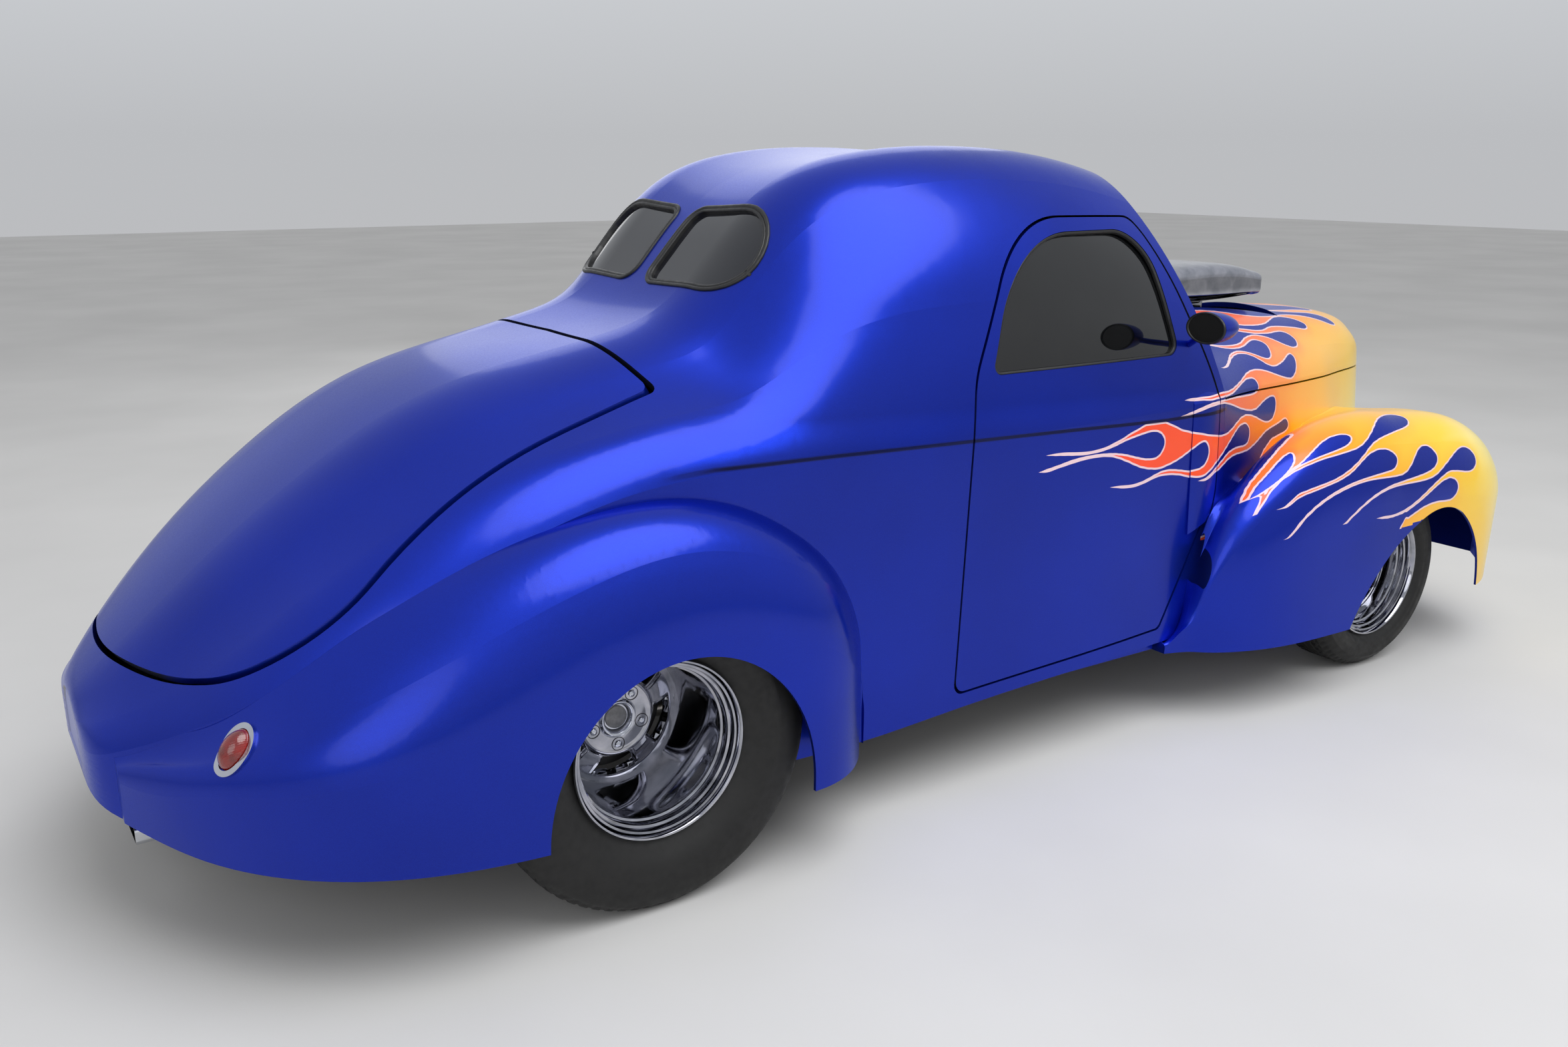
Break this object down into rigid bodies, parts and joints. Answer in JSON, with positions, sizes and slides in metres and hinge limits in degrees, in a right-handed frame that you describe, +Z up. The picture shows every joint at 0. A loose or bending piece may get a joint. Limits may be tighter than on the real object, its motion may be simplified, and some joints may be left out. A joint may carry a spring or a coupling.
{
  "type": "chopped coupe hot rod",
  "caption": "Two-door coupe hot rod with flowing fenders, a long deck lid, a hood scoop over the engine, wide rear wheels, opening doors, hood and deck lid, and steering.",
  "frame": {"origin": "on the ground under the middle of the bounding box", "axes": "+X forward, +Y to the car's left, +Z up"},
  "size_m": [4.5469, 1.75, 1.6397],
  "materials": {
    "body_paint": "gloss metallic",
    "chassis_black": "satin",
    "inner_panel": "satin",
    "chrome": "polished",
    "polished_aluminium": "polished",
    "steel_pipe": "satin",
    "engine_iron": "satin",
    "core_black": "matte",
    "tyre": "matte",
    "dark_glass": "gloss",
    "clear_glass": "gloss",
    "lamp_glass": "gloss",
    "red_lens": "gloss",
    "upholstery": "satin",
    "dash_black": "satin"
  },
  "bodies": {
    "chassis": {"body_shell": "body_paint", "floor_pan": "inner_panel", "chassis_frame": "chassis_black", "wheel_tubs": "inner_panel", "rear_fender_left": "body_paint", "rear_fender_right": "body_paint", "front_fender_left": "body_paint", "front_fender_right": "body_paint", "nose_shell": "body_paint", "grille": "chrome", "engine_block": "engine_iron", "supercharger": "polished_aluminium", "intake_scoop": "chrome", "radiator": "core_black", "windscreen": "clear_glass", "rear_windows": "clear_glass", "tail_lamp_lenses": "red_lens", "headlamp_lenses": "lamp_glass", "lamp_bezels": "chrome", "seat_left": "upholstery", "seat_right": "upholstery", "dashboard": "dash_black", "steering_wheel": "dash_black", "rear_axle": "chassis_black", "rear_suspension": "chrome", "front_suspension": "chassis_black", "exhaust": "steel_pipe"},
    "door_left": {"door_left": "body_paint", "door_glass_left": "dark_glass", "mirror_left": "body_paint"},
    "door_right": {"door_right": "body_paint", "door_glass_right": "dark_glass", "mirror_right": "body_paint"},
    "hood": {"hood": "body_paint"},
    "decklid": {"decklid": "body_paint"},
    "steer_left": {"knuckle_left": "chassis_black"},
    "steer_right": {"knuckle_right": "chassis_black"},
    "wheel_front_left": {"front_rim_left": "polished_aluminium", "front_tyre_left": "tyre"},
    "wheel_front_right": {"front_rim_right": "polished_aluminium", "front_tyre_right": "tyre"},
    "wheel_rear_left": {"rear_rim_left": "polished_aluminium", "rear_tyre_left": "tyre"},
    "wheel_rear_right": {"rear_rim_right": "polished_aluminium", "rear_tyre_right": "tyre"}
  },
  "joints": [
    {"name": "door_left_hinge", "type": "hinge", "parent": "chassis", "child": "door_left", "pos_m": [0.72, 0.705, 0.7], "axis": [0, 0, -1], "range_deg": [0, 60]},
    {"name": "door_right_hinge", "type": "hinge", "parent": "chassis", "child": "door_right", "pos_m": [0.72, -0.705, 0.7], "axis": [0, 0, 1], "range_deg": [0, 60]},
    {"name": "hood_hinge", "type": "hinge", "parent": "chassis", "child": "hood", "pos_m": [0.63, 0, 1.125], "axis": [0, -1, 0], "range_deg": [0, 45]},
    {"name": "decklid_hinge", "type": "hinge", "parent": "chassis", "child": "decklid", "pos_m": [-0.925, 0, 1.192], "axis": [0, 1, 0], "range_deg": [0, 60]},
    {"name": "steer_left_kingpin", "type": "hinge", "parent": "chassis", "child": "steer_left", "pos_m": [1.417, 0.614, 0.313], "axis": [0, 0, 1], "range_deg": [-20, 20]},
    {"name": "steer_right_kingpin", "type": "hinge", "parent": "chassis", "child": "steer_right", "pos_m": [1.417, -0.614, 0.313], "axis": [0, 0, 1], "range_deg": [-20, 20]},
    {"name": "front_left_spin", "type": "hinge", "parent": "steer_left", "child": "wheel_front_left", "pos_m": [1.417, 0.675, 0.313], "axis": [0, 1, 0], "continuous": true},
    {"name": "front_right_spin", "type": "hinge", "parent": "steer_right", "child": "wheel_front_right", "pos_m": [1.417, -0.675, 0.313], "axis": [0, 1, 0], "continuous": true},
    {"name": "rear_left_spin", "type": "hinge", "parent": "chassis", "child": "wheel_rear_left", "pos_m": [-1.225, 0.63, 0.376], "axis": [0, 1, 0], "continuous": true},
    {"name": "rear_right_spin", "type": "hinge", "parent": "chassis", "child": "wheel_rear_right", "pos_m": [-1.225, -0.63, 0.376], "axis": [0, 1, 0], "continuous": true}
  ],
  "couplings": [
    {"joint": "steer_right_kingpin", "follows": "steer_left_kingpin", "ratio": 1}
  ]
}
